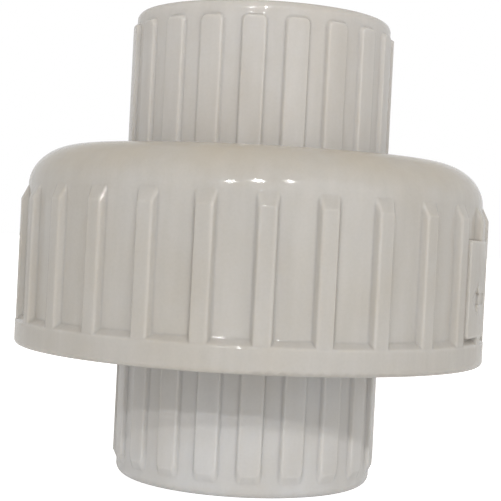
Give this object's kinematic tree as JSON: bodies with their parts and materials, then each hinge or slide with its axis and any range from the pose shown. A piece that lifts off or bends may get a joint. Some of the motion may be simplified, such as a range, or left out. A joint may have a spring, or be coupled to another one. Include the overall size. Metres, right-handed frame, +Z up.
{
  "type": "pipe union",
  "caption": "Plastic pipe union: two ribbed socket ends drawn face to face over an O-ring by a large ribbed hand nut with a rounded shoulder.",
  "frame": {"origin": "centre of the lower end's rim, the flat face that the union stands on", "axes": "+Z up along the pipe axis, from the threaded end to the end that the nut holds; +X to the right when the side is faced from -Y, with the nut's arrow pad on the right; angles round the axis run from -Y towards +X"},
  "size_m": [0.064, 0.0638, 0.0627],
  "materials": {
    "natural_plastic": "unpigmented moulded plastic, milky and slightly see-through, semi-gloss",
    "nut_plastic": "unpigmented moulded plastic, milky, semi-gloss, a little warmer where it is thick",
    "seal_rubber": "smooth black rubber"
  },
  "bodies": {
    "threaded_end": {"union_body": "natural_plastic", "o_ring": "seal_rubber"},
    "held_end": {"tailpiece": "natural_plastic"},
    "nut": {"union_nut": "nut_plastic"}
  },
  "joints": [
    {"name": "tailpiece_lift", "type": "slide", "parent": "threaded_end", "child": "held_end", "axis": [0, 0, 1], "range_m": [0, 0.014]},
    {"name": "nut_turn", "type": "hinge", "parent": "held_end", "child": "nut", "pos_m": [0, 0, 0.0389], "axis": [0, 0, 1], "range_deg": [0, 1260]}
  ],
  "couplings": [
    {"joint": "tailpiece_lift", "follows": "nut_turn", "m_per_rad": 0.00063662}
  ]
}
